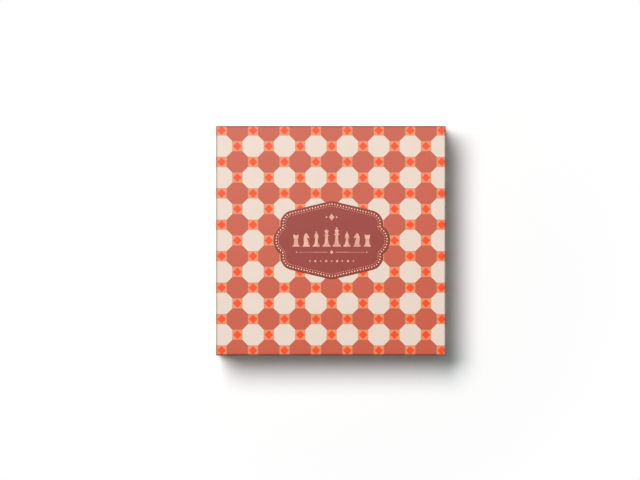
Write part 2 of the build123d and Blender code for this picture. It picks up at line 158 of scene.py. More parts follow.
# Shares of the foot's radius: its upright rim, the radius of the bead on it, a collar's thickness
RIM, BEAD, DISC = 0.2, 0.12, 0.17
EASE = 0.25  # how far sandpaper eases a corner
TOP = 86  # an arc over the top ends here, in degrees, because a fan closes the rest


def arc(middle, reach, start, end, steps=9):
    """Points of an elliptic arc: the middle, plus the reach times cosine and sine, in degrees."""
    turn = np.radians(np.linspace(start, end, steps))
    return np.column_stack([middle[0] + reach[0] * np.cos(turn), middle[1] + reach[1] * np.sin(turn)])


def smooth(points, steps):
    """A curve through points: cubic pieces, each tangent half the way between its neighbours."""
    points = np.array(points, float)
    tangents = np.gradient(points, axis=0)
    along = np.linspace(0, len(points) - 1, steps)
    piece = np.minimum(along.astype(int), len(points) - 2)
    s = (along - piece)[:, None]
    return ((2 * s ** 3 - 3 * s ** 2 + 1) * points[piece] + (s ** 3 - 2 * s ** 2 + s) * tangents[piece]
            + (3 * s ** 2 - 2 * s ** 3) * points[piece + 1] + (s ** 3 - s ** 2) * tangents[piece + 1])


def eased(outline):
    """Ease an outline's corners, as sandpaper does.

    A corner that turns by more than 25 degrees becomes a curve that starts and ends a little
    before and after it, with one more point on each side that keeps the flats flat.
    """
    sides = np.diff(outline, axis=0)
    length = np.linalg.norm(sides, axis=1, keepdims=True)
    way = sides / length
    corner = (way[:-1] * way[1:]).sum(axis=1) < np.cos(np.radians(25))
    cut = np.minimum(EASE, 0.3 * np.minimum(length[:-1], length[1:])) * corner[:, None]
    before, after = outline[1:-1] - cut * way[:-1], outline[1:-1] + cut * way[1:]
    five = np.stack([before - 0.5 * cut * way[:-1], before, (before + 2 * outline[1:-1] + after) / 4,
                     after, after + 0.5 * cut * way[1:]], axis=1)
    keep = np.repeat(corner[:, None], 5, axis=1)
    keep[:, 2] = True
    return np.vstack([outline[:1], five[keep], outline[-1:]])


def turned(outline, columns=40):
    """Turn an outline about the axis: x and y are its distance times cosine and sine."""
    angle = np.linspace(0, 2 * np.pi, columns, endpoint=False)
    distance, height = outline[:, :1], outline[:, 1:]
    return np.stack([distance * np.cos(angle), distance * np.sin(angle), height + 0 * angle], axis=-1)


def closed(rings):
    """A shell: the vertices of a stack of rings, with the quads between them and an end fan each."""
    rows, columns = rings.shape[:2]
    index = np.arange(rows * columns).reshape(rows, columns)
    beside = np.roll(index, -1, axis=1)
    quads = np.stack([index[:-1], beside[:-1], beside[1:], index[1:]], axis=-1).reshape(-1, 4)
    ends = [(beside[0], index[0]), (index[-1], beside[-1])]
    fans = [np.stack([one, two, np.full(columns, rows * columns + end)], axis=-1)
            for end, (one, two) in enumerate(ends)]
    vertices = np.vstack([rings.reshape(-1, 3), rings[0].mean(axis=0), rings[-1].mean(axis=0)])
    return vertices, [quads, *fans]


def build(name, shells, material, sharp=35):
    """Join shells, in millimetres, into one mesh object with outward faces and smooth shading."""
    faces, count = [], 0
    for points, blocks in shells:
        for corners in blocks:
            faces += (count + corners).tolist()
        count += len(points)
    mesh = bpy.data.meshes.new(name)
    mesh.from_pydata((np.vstack([points for points, blocks in shells]) * MM).tolist(), [], faces)
    solid = bmesh.new()
    solid.from_mesh(mesh)
    bmesh.ops.recalc_face_normals(solid, faces=solid.faces)
    solid.to_mesh(mesh)
    solid.free()
    mesh.shade_smooth()
    mesh.set_sharp_from_angle(angle=np.radians(sharp))
    mesh.materials.append(material)
    piece = bpy.data.objects.new(name, mesh)
    bpy.context.scene.collection.objects.link(piece)
    return piece


def foot(radius, neck, height):
    """Outline of a foot: a flat rim, a round bead, and an elliptic sweep up to the neck."""
    rim, bead = RIM * radius, BEAD * radius
    ledge = radius - 1.5 * bead
    return np.vstack([[(0.2 * radius, 0), (radius, 0), (radius, rim)],
                      arc((radius - bead, rim + bead), (bead, bead), -90, 90),
                      arc((ledge, height), (ledge - neck, height - rim - 2 * bead), 270, 180, 16)])


def collar(width, height, thickness):
    """Outline of a collar: a disc with a half-round edge."""
    return arc((width, height + thickness / 2), (thickness / 2, thickness / 2), -90, 90)


# Pawn: foot, slim neck, collar and a ball. A man's touch is the circle of its outline that meets
# the cell's floor when it lies, by its distance from the axis, its height and its radius.
radius = FEET["pawn"]
neck, disc, ball = 0.32 * radius, DISC * radius, 5.2
throat = 1.25 * neck
ball_height = HEIGHTS["pawn"] - ball
ball_bottom = ball_height - np.sqrt(ball ** 2 - throat ** 2)
collar_height = ball_bottom - disc
start = np.degrees(np.arctan2(ball_bottom - ball_height, throat))
profiles = {"pawn": eased(np.vstack([
    foot(radius, neck, collar_height),
    collar(0.56 * radius, collar_height, disc), [(throat, ball_bottom)],
    arc((0, ball_height), (ball, ball), start, TOP, 20)[1:]]))}
pawn = [closed(turned(profiles["pawn"]))]
touches = {"pawn": (0, ball_height, ball)}

# Rook: stout body, collar and a tower. In four gaps the rim is lower by the gap's depth, and the
# doubled angles at a gap's two sides make its upright walls.
radius = FEET["rook"]
neck, disc, tower, gap = 0.5 * radius, DISC * radius, 0.72 * radius, 2.4
hollow, gap_bottom = 0.7 * tower, HEIGHTS["rook"] - gap
collar_height = 0.64 * HEIGHTS["rook"]
tower_bottom = collar_height + disc
profiles["rook"] = outline = eased(np.vstack([
    foot(radius, neck, collar_height),
    collar(0.66 * radius, collar_height, disc),
    [(1.1 * neck, tower_bottom), (tower, tower_bottom + 0.25 * radius), (tower, gap_bottom),
     (tower, HEIGHTS["rook"]), (hollow, HEIGHTS["rook"]), (hollow, gap_bottom),
     (0.2 * tower, gap_bottom)]]))
half_gap = np.arcsin(gap / 2 / tower)
open_part, wall_part = np.linspace(-half_gap, half_gap, 4), np.linspace(half_gap, np.pi / 2 - half_gap, 12)
quarter = np.concatenate([open_part, wall_part])
in_gap = np.tile(np.arange(len(quarter)) < len(open_part), 4)
angle = (quarter + np.arange(4)[:, None] * np.pi / 2).ravel()
height = np.where(in_gap, np.minimum(outline[:, 1:], gap_bottom), outline[:, 1:])
rook = [closed(np.stack([outline[:, :1] * np.cos(angle), outline[:, :1] * np.sin(angle), height],
                        axis=-1))]
touches["rook"] = (tower, HEIGHTS["rook"], 0)

# Bishop: collar, mitre and a small ball. A saw cut slants in at 50 degrees, and the mitre's rings
# lean with it: a point rises by its distance past the cut's bottom times the tangent. Two rings
# bound the cut, and a copy of each is pressed back to the bottom.
radius = FEET["bishop"]
neck, disc, finial, cut = 0.34 * radius, DISC * radius, 1.7, 1.2
collar_height = 0.56 * HEIGHTS["bishop"]
mitre_bottom = collar_height + disc
mitre_top = HEIGHTS["bishop"] - 1.8 * finial
mitre, wide = mitre_top - mitre_bottom, 0.54 * radius
stem = np.vstack([foot(radius, neck, collar_height),
                  collar(0.58 * radius, collar_height, disc), [(neck, mitre_bottom)]])
hood = smooth([(neck, mitre_bottom), (0.9 * wide, mitre_bottom + 0.15 * mitre),
               (wide, mitre_bottom + 0.36 * mitre), (0.6 * wide, mitre_bottom + 0.75 * mitre),
               (0.6 * finial, mitre_top)], 40)
finial_ball = arc((0, HEIGHTS["bishop"] - finial), (finial, finial), -53, TOP, 12)
profiles["bishop"] = np.vstack([eased(stem), hood[1:], finial_ball[1:]])
slant = np.tan(np.radians(50))
bottom = 0.36 * wide
opening = mitre_bottom + 0.7 * mitre - slant * (wide - bottom)
half_cut = cut / 2 * np.hypot(1, slant)
edges = opening + half_cut * np.array([-1, -1, 1, 1])
below = np.linspace(mitre_bottom, edges[0], 16)[1:-1]
level = np.concatenate([below, edges, np.linspace(edges[-1], mitre_top, 24)[1:]])[:, None]
lean = slant * np.interp(level, [mitre_bottom, edges[0], edges[-1], mitre_top], [0, 1, 1, 0])
angle = np.linspace(0, 2 * np.pi, 72, endpoint=False)
height = level + 0 * angle
# A point's rise hangs on its distance, and that on its height: four rounds settle both
for _ in range(4):
    distance = np.interp(height, hood[:, 1], hood[:, 0])
    height = level + lean * np.maximum(distance * np.cos(angle) - bottom, 0)
rings = np.stack([distance * np.cos(angle), distance * np.sin(angle), height], axis=-1)
sawn = np.zeros((len(level), 1), bool)
sawn[len(below) + 1:len(below) + 3] = True
sawn = sawn & (rings[..., 0] > bottom)
rings[..., 0] = np.where(sawn, bottom, rings[..., 0])
rings[..., 2] = np.where(sawn, level, rings[..., 2])
bishop = [closed(np.concatenate([turned(eased(stem), 72), rings, turned(finial_ball[1:], 72)]))]
touches["bishop"] = (0.58 * radius, mitre_bottom - disc / 2, disc / 2)

# Queen: collar, a flaring crown and a small ball. The crown's lip dips in eight scallops: a point
# on it falls by their depth times the cube of the cosine's size, at four times its angle.
radius = FEET["queen"]
neck, disc, wide = 0.32 * radius, DISC * radius, 0.6 * radius
collar_height = 0.62 * HEIGHTS["queen"]
crown_bottom = collar_height + disc
rim = HEIGHTS["queen"] - 3 * finial
lip, scallop = rim + 0.8, 1.3
profiles["queen"] = eased(np.vstack([
    foot(radius, neck, collar_height),
    collar(0.6 * radius, collar_height, disc),
    arc((wide, crown_bottom), (wide - 1.1 * neck, rim - crown_bottom), 180, 90, 14),
    [(wide, lip), (0.75 * wide, lip)],
    smooth([(0.72 * wide, rim + 0.85), (0.45 * wide, rim + 0.9 * finial),
            (0.6 * finial, rim + 1.2 * finial)], 8),
    arc((0, HEIGHTS["queen"] - finial), (finial, finial), -53, TOP, 12)[1:]]))
rings = turned(profiles["queen"], 80)
angle = np.arctan2(rings[..., 1], rings[..., 0])
on_lip = (rings[..., 2] > rim - 0.1) & (np.hypot(rings[..., 0], rings[..., 1]) > 0.74 * wide)
rings[..., 2] -= scallop * np.abs(np.cos(4 * angle)) ** 3 * on_lip
queen = [closed(rings)]
touches["queen"] = (wide, lip, 0)

# King: two collars, a flaring hat with a domed top, and a cross. The cross is sawn from a slip
# 2.2 mm thick, and its foot stands in the hat.
radius = FEET["king"]
neck, disc, wide, span, bar = 0.32 * radius, DISC * radius, 0.54 * radius, 7.0, 2.2
collar_height = 0.6 * HEIGHTS["king"]
hat_bottom = collar_height + 2 * disc
rim = HEIGHTS["king"] - span - 0.25 * radius
profiles["king"] = eased(np.vstack([
    foot(radius, neck, collar_height),
    collar(0.6 * radius, collar_height, disc),
    [(0.46 * radius, collar_height + disc)],
    collar(0.48 * radius, hat_bottom - disc, disc),
    arc((wide, hat_bottom), (wide - 1.1 * neck, rim - hat_bottom), 180, 90, 14),
    [(wide, rim + 0.06 * radius)],
    smooth([(0.97 * wide, rim + 0.08 * radius), (0.6 * wide, rim + 0.2 * radius),
            (0.02 * wide, rim + 0.25 * radius)], 9)]))
arm, half = span / 2, bar / 2
cross = np.array([(0.7 * half, -2 * half), (0.8 * half, -0.6 * half), (arm, -half), (arm, half),
                  (0.8 * half, 0.6 * half), (half, 0.45 * span), (-half, 0.45 * span),
                  (-0.8 * half, 0.6 * half), (-arm, half), (-arm, -half), (-0.8 * half, -0.6 * half),
                  (-0.7 * half, -2 * half), (-half, -0.62 * span), (half, -0.62 * span)])
cross = cross + (0, HEIGHTS["king"] - 0.45 * span)
slip = np.stack([np.column_stack([cross[:, 0], np.full(len(cross), y), cross[:, 1]])
                 for y in (-half, half)])
king = [closed(turned(profiles["king"])), closed(slip)]
touches["king"] = (0.6 * radius, collar_height + disc / 2, disc / 2)

# Knight: foot and plinth are turned. The horse's head is carved: rings span from its crest to
# its chest and face, narrow towards the ears and muzzle, with a mane cut along the crest.
radius = FEET["knight"]
disc, plinth, plinth_top = DISC * radius, 0.68 * radius, 0.27 * HEIGHTS["knight"]
tall, cheek = HEIGHTS["knight"] - plinth_top, 9.0
poll, eye_along, eye_column = 0.82, 0.72, 12  # the ears' root up the head; the eye along and round it
profiles["knight"] = eased(np.vstack([
    foot(radius, 0.92 * plinth, plinth_top - disc),
    collar(plinth, plinth_top - disc, disc), [(0.1 * plinth, plinth_top)]]))
CARVED = 96
back = smooth([(-0.86, 0.0), (-1.06, 0.3), (-1.0, 0.55), (-0.62, 0.8), (-0.05, 0.94), (0.42, 0.86),
               (0.84, 0.72), (1.2, 0.6), (1.34, 0.54)], CARVED) * (plinth, tall)
front = smooth([(0.86, 0.0), (0.84, 0.16), (0.6, 0.3), (0.38, 0.41), (0.34, 0.47), (0.56, 0.5),
                (0.78, 0.46), (1.0, 0.42), (1.28, 0.46)], CARVED) * (plinth, tall)
width = smooth([[5.6], [5.0], [4.4], [4.1], [3.9], [3.6], [3.1], [2.6], [2.2]], CARVED)
turn = np.linspace(0, 2 * np.pi, 72, endpoint=False)
along = np.linspace(0, 1, CARVED)[:, None]
spine, reach = (back + front) / 2, (back - front) / 2
off_crest, off_face = np.minimum(turn, 2 * np.pi - turn), np.abs(turn - np.pi)


def spot(middle, length, away, breadth, around):
    """A soft spot of height 1: bell curves along the head and round it, multiplied."""
    return np.exp(-((along - middle) / length) ** 2 - ((around - away) / breadth) ** 2)


# The mane's locks are waves that slant over the crest. Each spot has a place along the head and
# a length, and then a place round it and a breadth.
mane = (0.7 + 0.4 * np.sin(105 * along + 3 * off_crest)) * spot(0.25, 0.3, 0, 0.5, off_crest)
brow = 0.5 * spot(0.66, 0.06, 1.9, 0.35, off_face)
jaw = 0.6 * spot(0.66, 0.07, 1.0, 0.5, off_face)
socket = 0.5 * spot(eye_along, 0.025, 1.75, 0.3, off_face)
nostril = 0.8 * spot(0.95, 0.018, 1.9, 0.25, off_face)
mouth = 0.5 * spot(0.96, 0.1, 0.9, 0.12, off_face)
grow = 1 + mane / np.linalg.norm(reach, axis=1, keepdims=True)
carved = np.stack([spine[:, :1] + reach[:, :1] * np.cos(turn) * grow,
                   (width + brow + jaw - socket - nostril - mouth) * np.sin(turn),
                   spine[:, 1:] + reach[:, 1:] * np.cos(turn) * grow], axis=-1)
carved[..., 2] += plinth_top
knight = [closed(turned(profiles["knight"])), closed(carved)]
around = np.linspace(0, 2 * np.pi, 16, endpoint=False)
up = np.linspace(0, 1, 7)[:, None]
eye_size, eye_at = 0.85, carved[int(eye_along * CARVED), eye_column]
for side in (-1, 1):
    # Ear: a cone that narrows by 1 - up squared, from the poll to the man's full height
    base, tip = np.array([(-0.2 * plinth, side * 1.7, plinth_top + poll * tall),
                          (0.06 * plinth, side * 2.0, HEIGHTS["knight"])])
    thick = 1.5 * (1 - up ** 2) + 0.15
    centre = base + up * (tip - base)
    knight.append(closed(np.stack([centre[:, :1] + thick * np.cos(around),
                                   centre[:, 1:2] + 0.7 * thick * np.sin(around),
                                   centre[:, 2:] + 0 * around], axis=-1)))
    # Eye: a bead, sunk a little into its socket
    eye = eye_size * turned(arc((0, 0), (1, 1), -85, 85, 9), 16)
    knight.append(closed(eye + (eye_at[0], side * (eye_at[1] - 0.2), eye_at[2])))
touches["knight"] = (0.38 * cheek, plinth_top + poll * tall, 0)


STREAK, PORE = (40, 1.6), (9, 0.25)  # length along the wood's grain, and width


def timber(name, pale, dark, pores):
    """Make turned and lacquered wood. Its grain runs along the lying men's axes, which is x.

    Its streaks go from pale to dark, and its fine pores are darker by their share.
    """
    material, tree, shader, place = blank(name)
    shader["Roughness"].default_value = 0.42
    shader["Coat Weight"].default_value = 0.35
    shader["Coat Roughness"].default_value = 0.22
    stretched, fine = (add(tree, "Mapping", place, None, None,
                           (1 / (long * MM), 1 / (wide * MM), 1 / (wide * MM)))
                       for long, wide in (STREAK, PORE))
    streaks = add(tree, "TexNoise", stretched, 1.0, 4.0, 0.6)
    pore = add(tree, "TexNoise", fine, 1.0, 2.0)
    grain = add(tree, "Mix", add(tree, "MapRange", streaks, 0.32, 0.68, 0.0, 1.0), linear(pale),
                linear(dark), data_type="RGBA")
    opened = add(tree, "MapRange", pore, 0.6, 0.72, 1.0, 1 - pores)
    tree.links.new(add(tree, "VectorMath", grain, opened, operation="SCALE"), shader["Base Color"])
    tree.links.new(add(tree, "Bump", 1.0, 0.02 * MM, None, pore), shader["Normal"])
    return material


# Maple is pale and close-grained, so its streaks are faint. The stained wood soaks up red-brown
# unevenly, so its streaks are strong. Satin lacquer gives both a soft highlight.
maple = timber("maple_turned_lacquered", "#E3C79C", "#CFA873", 0.12)
stained = timber("stained_wood_turned_lacquered", "#A2543D", "#702D1E", 0.3)
kinds = {"king": king, "queen": queen, "bishop": bishop, "knight": knight, "rook": rook, "pawn": pawn}
quarter_turns = {"king": 90, "queen": 0, "bishop": 180, "knight": 90, "rook": 0, "pawn": 0}


def about(axis, degrees):
    """The matrix that turns points about the y or z axis."""
    cosine, sine = np.cos(np.radians(degrees)), np.sin(np.radians(degrees))
    if axis == "y":
        return np.array([(cosine, 0, sine), (0, 1, 0), (-sine, 0, cosine)])
    return np.array([(cosine, -sine, 0), (sine, cosine, 0), (0, 0, 1)])


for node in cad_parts:
    colour, kind = node.split("_")[:2]
    if kind not in kinds or colour not in ("light", "dark"):
        continue
    # The man lies with its foot outwards. It dips until foot and head touch the same floor: the
    # dip is the slope of the line that touches the foot's bead and the head's widest circle.
    low, high = (np.array(corner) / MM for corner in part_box(node))
    radius = FEET[kind]
    bead = BEAD * radius
    foot_out, foot_up = radius - bead, (RIM + BEAD) * radius
    head_out, head_up, head_radius = touches[kind]
    dip = (np.arccos((head_radius - bead) / np.hypot(foot_out - head_out, head_up - foot_up))
           - np.arctan2(head_up - foot_up, foot_out - head_out))
    outward = -1 if colour == "light" else 1
    start = (low[0] if colour == "light" else high[0]) - outward * radius * np.sin(dip)
    height = low[2] + foot_out * np.cos(dip) + foot_up * np.sin(dip) + bead
    pose = (about("z", 0 if colour == "light" else 180) @ about("y", 90 + np.degrees(dip))
            @ about("z", quarter_turns[kind]))
    shells = [(points @ pose.T + (start, (low[1] + high[1]) / 2, height), blocks)
              for points, blocks in kinds[kind]]
    man = build(f"turned_{node}", shells, maple if colour == "light" else stained)
    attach(man, node)
    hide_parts(node)

# Playing board. A 4 mm card core, with art paper printed with 64 squares glued over it and down
# its edges, and plain deep red paper on its back. Its squares are octagons, and where four meet
# stands a small diamond, as on the lid.
SQUARE = 30.0
DIAMOND = (0.2, 0.18, 0.1)  # reach of its tan line, its peach ground and its orange, in squares
BORDER = (0.0, 2.2, 2.9, 4.0, 4.3)  # beyond the squares deep red and peach take turns from here
INKS = {"cream": "#E9D6C8", "terracotta": "#C55D47", "peach": "#EA916A", "tan": "#CE905C",
        "orange": "#F64F1F", "deep red": "#964138"}


def printed(tree, paper, *layers):
    """Print inks over each other: each layer is a named ink, and where it goes down."""
    for ink, where in layers:
        paper = add(tree, "Mix", where, paper, linear(INKS[ink]), data_type="RGBA")
    return paper


def board_print(tree, place):
    """Draw the board: a square is cream where its row and column numbers add up to an even
    number, and a diamond holds the points whose two distances to a crossing add up to little."""
    x, y = add(tree, "SeparateXYZ", place).node.outputs[:2]
    steps, spans = [], []
    for side in (x, y):
        count = add(tree, "Math", side, SQUARE * MM, operation="DIVIDE")
        steps.append(add(tree, "Math", count, operation="FLOOR"))
        spans.append(add(tree, "Math", count, 0.5, operation="PINGPONG"))
    both = add(tree, "Math", *steps, operation="ADD")
    odd = add(tree, "Math", both, 1.0, operation="PINGPONG")
    slant = add(tree, "Math", *spans, operation="ADD")
    out = add(tree, "Math", add(tree, "Math", x, operation="ABSOLUTE"),
              add(tree, "Math", y, operation="ABSOLUTE"), operation="MAXIMUM")
    edge = 4 * SQUARE * MM
    beyond = [add(tree, "Math", out, edge + mm * MM, operation="GREATER_THAN") for mm in BORDER]
    within = [add(tree, "Math", slant, part, operation="LESS_THAN") for part in DIAMOND]
    return printed(tree, linear(INKS["cream"]), ("terracotta", odd),
                   *zip(("tan", "peach", "orange"), within),
                   *zip(("deep red", "peach", "deep red", "peach", "deep red"), beyond))


# Art paper is coated and very smooth, and its matt lamination leaves a soft wide sheen.
board_paper = stock("art_paper_board_print_laminated", board_print, 0.45, 0.5, 0.006, 0.015, "board_face")
backing_paper = stock("paper_deep_red_uncoated", "#9E4F47", 0.8, 0.4, 0.015, 0.03)
dress("board_core", greyboard)
dress("board_face", board_paper)
dress("board_backing", backing_paper)

# Lid. The same greyboard, folded down on four sides, in one sheet of art paper printed with the
# tiling. The sheet goes round the folds and up inside, so the tiling runs on down the skirt.
PITCH = 37.635  # the tiling's repeat
OFFSET = (0.91, 0.4)  # where a small square lies, right of the lid's middle and above it
# Reach of a small square's tan line, its peach and its orange diamond, in halves of the repeat
TILE = (0.325, 0.298, 0.285)
SHEEN_SLOPE = (-0.04, 0.12)  # painted sheen: how much lighter the print gets a metre along x and y
lid_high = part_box("lid_wrap")[1]


def painted_sheen(tree, place, colour):
    """Paint a sheen on a print: lighter towards the lid's upper left, where the light is, and
    deeper towards the lower right. It changes evenly along x and y."""
    x, y = add(tree, "SeparateXYZ", place).node.outputs[:2]
    pale = add(tree, "Math", y, SHEEN_SLOPE[1], add(tree, "Math", x, SHEEN_SLOPE[0], operation="MULTIPLY"),
               operation="MULTIPLY_ADD")
    return add(tree, "VectorMath", colour, pale, operation="ADD")


def lid_print(tree, place):
    """Draw the tiling on the unfolded sheet: on a side, a point's drop adds to its distance.

    With both ways folded to waves between 0 and 1, an octagon is cream where the second wave is
    the lower, a small square lies where both are near 0 or near 1, and its diamond where their
    sum is near 0 or near 2.
    """
    x, y, z = add(tree, "SeparateXYZ", place).node.outputs[:3]
    drop = add(tree, "Math", lid_high.z, z, operation="SUBTRACT")
    far_x, far_y = (add(tree, "Math", side, operation="ABSOLUTE") for side in (x, y))
    on_x = add(tree, "Math", far_x, far_y, operation="GREATER_THAN")
    on_y = add(tree, "Math", 1.0, on_x, operation="SUBTRACT")
    waves = []
    for side, facing, shift in ((x, on_x, OFFSET[0]), (y, on_y, OFFSET[1])):
        down = add(tree, "Math", add(tree, "Math", side, operation="SIGN"), drop, operation="MULTIPLY")
        flat = add(tree, "Math", down, facing, side, operation="MULTIPLY_ADD")
        count = add(tree, "Math", add(tree, "Math", flat, shift * MM, operation="SUBTRACT"),
                    PITCH / 2 * MM, operation="DIVIDE")
        waves.append(add(tree, "Math", count, 1.0, operation="PINGPONG"))
    total = add(tree, "Math", *waves, operation="ADD")
    lower = add(tree, "Math", *waves, operation="MINIMUM")
    corner = add(tree, "Math", add(tree, "Math", *waves, operation="MAXIMUM"),
                 add(tree, "Math", 1.0, lower, operation="SUBTRACT"), operation="MINIMUM")
    slant = add(tree, "Math", total, add(tree, "Math", 2.0, total, operation="SUBTRACT"),
                operation="MINIMUM")
    tiling = printed(tree, linear(INKS["terracotta"]),
                     ("cream", add(tree, "Math", waves[1], waves[0], operation="LESS_THAN")),
                     ("tan", add(tree, "Math", corner, TILE[0], operation="LESS_THAN")),
                     ("peach", add(tree, "Math", corner, TILE[1], operation="LESS_THAN")),
                     ("orange", add(tree, "Math", slant, TILE[2], operation="LESS_THAN")))
    # A painted sheen lightens the tiling towards the upper left, where the light is
    return painted_sheen(tree, place, tiling)


lid_paper = stock("art_paper_lid_print_laminated", lid_print, 0.45, 0.5, 0.006, 0.012, "lid_wrap")
dress("lid_greyboard", greyboard)
dress("lid_wrap", lid_paper)
dress("lid_lining", lining_paper)

# Label. Deep red paper, die cut to its scalloped outline and glued on the lid. Its edge has a
# dark printed line, and two rows of dots and the ornaments are hot-stamped copper foil.
WAIST, NOTCH, TIP, PEAK, SLANT = 61.4, 16.6, 69.8, 47.2, np.radians(13.5)
SHOULDER_ROUND, PEAK_ROUND = 16.0, 18.0
ASIDE = (0.9, 0.7)  # it sits a little to the right of the lid's middle and above it
LID_TOP = round(lid_high.z / MM, 3)
PAPER_TOP = LID_TOP + 0.24  # with the foil dots on it, the label stays within its solid's 0.3 mm
LINE = (1.6, 1.75)  # where the dark line starts and ends to fade, from the label's edge


def rounded(before, corner, after, radius, steps=24):
    """Round a corner: an arc that starts and ends on its sides at radius / tan(half the corner)."""
    before, corner, after = (np.array(point, float) for point in (before, corner, after))
    one, two = ((side - corner) / np.linalg.norm(side - corner) for side in (before, after))
    half = np.arccos(one @ two) / 2
    middle = corner + (one + two) / np.linalg.norm(one + two) * radius / np.sin(half)
    ends = [corner + way * radius / np.tan(half) - middle for way in (one, two)]
    start, end = (np.degrees(np.arctan2(arm[1], arm[0])) for arm in ends)
    end = start + (end - start + 180) % 360 - 180
    return arc(middle, (radius, radius), start, end, steps)


shoulder = PEAK - WAIST * np.tan(SLANT)
upper = np.vstack([[(WAIST, NOTCH)],
                   rounded((WAIST, NOTCH), (WAIST, shoulder), (0, PEAK), SHOULDER_ROUND),
                   rounded((WAIST, shoulder), (0, PEAK), (-WAIST, shoulder), PEAK_ROUND),
                   rounded((0, PEAK), (-WAIST, shoulder), (-WAIST, NOTCH), SHOULDER_ROUND),
                   [(-WAIST, NOTCH)]])
lobe_radius = (NOTCH ** 2 + (TIP - WAIST) ** 2) / 2 / (TIP - WAIST)
lobe_half = np.degrees(np.arcsin(NOTCH / lobe_radius))
left_lobe = arc((lobe_radius - TIP, 0), (lobe_radius, lobe_radius), 180 - lobe_half, 180 + lobe_half, 30)


def evenly(line, spacing):
    """Points at a spacing along an open line, by the length of the way along it."""
    length = np.concatenate([[0], np.cumsum(np.linalg.norm(np.diff(line, axis=0), axis=1))])
    places = np.linspace(0, length[-1], max(2, round(length[-1] / spacing) + 1))
    return np.column_stack([np.interp(places, length, line[:, side]) for side in (0, 1)])


def inward(line):
    """Unit vectors to the left of the way along a line, which is inside the label."""
    way = np.gradient(line, axis=0)
    return np.column_stack([-way[:, 1], way[:, 0]]) / np.linalg.norm(way, axis=1, keepdims=True)


# The outline is four runs. At each of the four notches the inward way turns through a fan.
runs = [evenly(line, 1.0) for line in (upper, left_lobe, -upper, -left_lobe)]
blend = np.linspace(0, 1, 8)[1:-1, None]
outline, normals = [], []
for run, following in zip(runs, runs[1:] + runs[:1]):
    fan = inward(run)[-1] * (1 - blend) + inward(following)[0] * blend
    outline += [run, np.repeat(run[-1:], len(blend), axis=0)]
    normals += [inward(run), fan / np.linalg.norm(fan, axis=1, keepdims=True)]
outline, normals = np.vstack(outline) + ASIDE, np.vstack(normals)
# Rings by their distance from the edge and their height: up the cut edge, whose corner is soft,
# and across the face to 12 mm inside. A fan closes the middle.
levels = [(0, LID_TOP), (0, PAPER_TOP - 0.08), (0.03, PAPER_TOP - 0.03),
          *((across, PAPER_TOP) for across in (0.09, 1.6, 1.8, 6.0, 12.0))]
rings = np.stack([np.column_stack([outline + inset * normals, np.full(len(outline), level)])
                  for inset, level in levels])


def label_print(tree, place):
    """Draw the label: a dark line round its edge, by the distance from the edge that the piece's
    own attribute holds, on the same red all over, under a painted sheen towards the upper left."""
    inset = add(tree, "Attribute", attribute_name="inset").node.outputs["Fac"]
    edge = add(tree, "MapRange", inset, *LINE, 1.0, 0.0)
    return painted_sheen(tree, place, add(tree, "Mix", edge, linear("#953F36"), linear("#82391E"),
                                     data_type="RGBA"))


# The label's paper is coated and smoother than the lid's, with a closer sheen.
label_paper = stock("label_paper_deep_red", label_print, 0.32, 0.4, 0.01, 0.02)
label = build("label_paper_piece", [closed(rings)], label_paper, 50)
inset = np.append(np.repeat([inset for inset, level in levels], len(outline)), [0.0, 20.0])
label.data.attributes.new("inset", "FLOAT", "POINT").data.foreach_set("value", inset)
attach(label, "lid")
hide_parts("lid_label")


def domes(places, radius, height, columns):
    """Foil dots, pressed up in a dome: rings at sine and cosine of 0, 45 and 80 degrees."""
    rise = np.radians([0, 45, 80])[:, None]
    angle = np.linspace(0, 2 * np.pi, columns, endpoint=False)
    dome = np.stack([radius * np.cos(rise) * np.cos(angle), radius * np.cos(rise) * np.sin(angle),
                     PAPER_TOP + height * np.sin(rise) + 0 * angle], axis=-1)
    return [closed(dome + (x, y, 0)) for x, y in places]


def plate(shape, thickness=0.04):
    """A flat foil shape: its outline carried up by its thickness, both ends filled."""
    count = len(shape)
    vertices = np.vstack([np.column_stack([shape + ASIDE, np.full(count, level)])
                          for level in (PAPER_TOP - 0.01, PAPER_TOP + thickness)])
    under, over = np.arange(count), np.arange(count) + count
    sides = np.stack([under, np.roll(under, -1), np.roll(over, -1), over], axis=-1)
    return vertices, [sides, under[None, ::-1], over[None]]


def diamond(x, y, width, height):
    """A small upright diamond."""
    return plate(np.array([(x + width / 2, y), (x, y + height / 2),
                           (x - width / 2, y), (x, y - height / 2)]))


PRESS, DRIFT = 0.6, 7  # size of the paper's grain that shows in the foil, and of the tint's drift


def stamped(name, light, dark):
    """Make hot-stamped foil: its tint drifts from light to dark, and the paper's grain roughens it."""
    material, tree, shader, place = blank(name)
    shader["Metallic"].default_value = 1.0
    press = add(tree, "TexNoise", place, 1 / (PRESS * MM), 4.0, 0.6)
    drift = add(tree, "TexNoise", place, 1 / (DRIFT * MM), 2.0)
    tint = add(tree, "Mix", add(tree, "MapRange", drift, 0.35, 0.65, 0.0, 1.0), linear(light),
               linear(dark), data_type="RGBA")
    tree.links.new(tint, shader["Base Color"])
    tree.links.new(add(tree, "MapRange", press, 0.3, 0.7, 0.38, 0.5), shader["Roughness"])
    tree.links.new(add(tree, "Bump", 1.0, 0.01 * MM, None, press), shader["Normal"])
    return material


